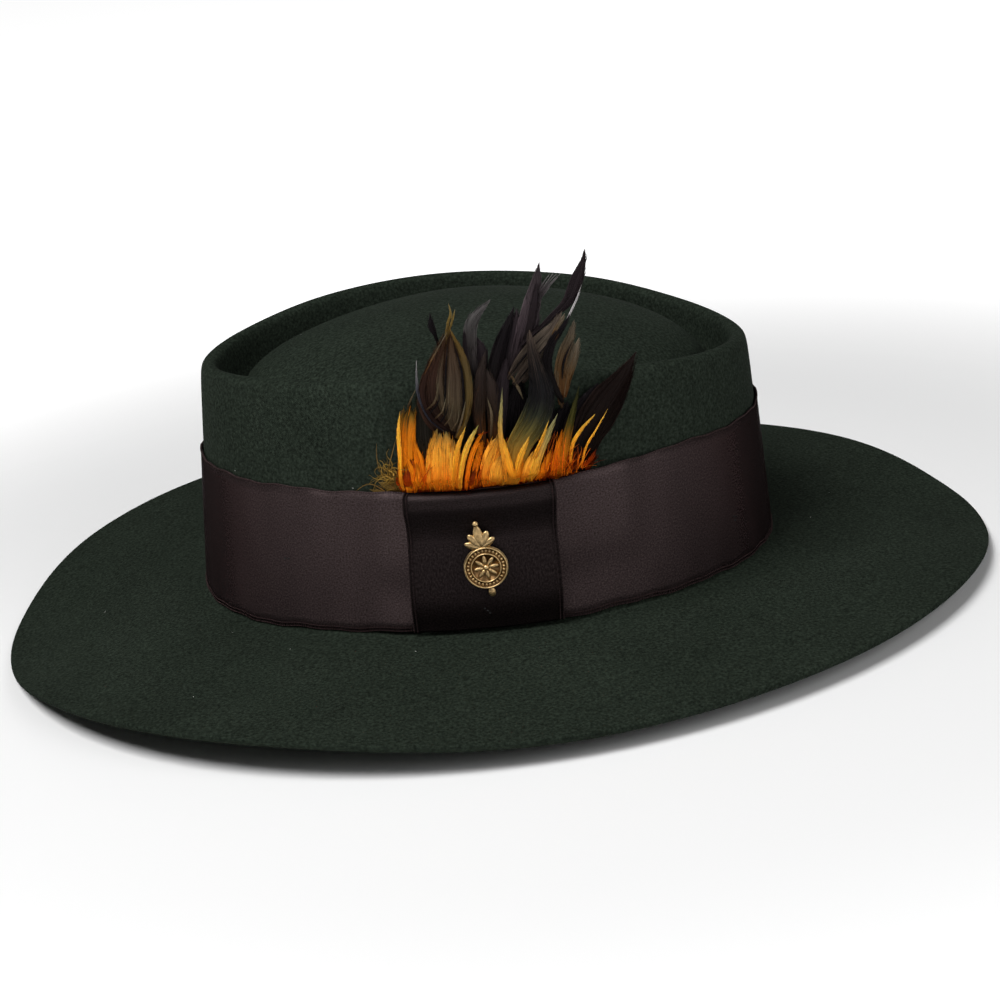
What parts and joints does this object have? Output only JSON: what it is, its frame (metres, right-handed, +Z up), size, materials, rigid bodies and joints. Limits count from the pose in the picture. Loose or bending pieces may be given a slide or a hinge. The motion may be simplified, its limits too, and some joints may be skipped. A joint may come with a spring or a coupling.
{
  "type": "telescope-crown felt fedora hat",
  "caption": "Dark green wool-felt hat with a telescope crown and a wide dipping brim, a satin ribbon band with an upright keeper, a side plume of cock feathers and a brass pin badge.",
  "frame": {"origin": "on the floor that the hat rests on, under the middle of the brim", "axes": "+X from the hat's front to its back; +Y towards the wearer's right, the plain side; +Z up. The trim is on the side at -Y"},
  "size_m": [0.3562, 0.3216, 0.1341],
  "materials": {
    "green_felt": "matt short-nap wool felt, dark bottle green, with a few pale lint specks",
    "satin_ribbon": "dark brown-black satin ribbon with fine picot edges, soft sheen",
    "keeper_satin": "the same ribbon set upright and folded, seen against its sheen",
    "feather": "cock feathers, orange and gold at the root, olive and dark brown to purple-black at the tips",
    "badge_brass": "cast brass, bright on its raised edges and dull in its hollows"
  },
  "bodies": {
    "root": {"felt_body": "green_felt", "ribbon_band": "satin_ribbon", "ribbon_keeper": "keeper_satin", "feather_plume": "feather", "badge": "badge_brass"}
  },
  "joints": []
}
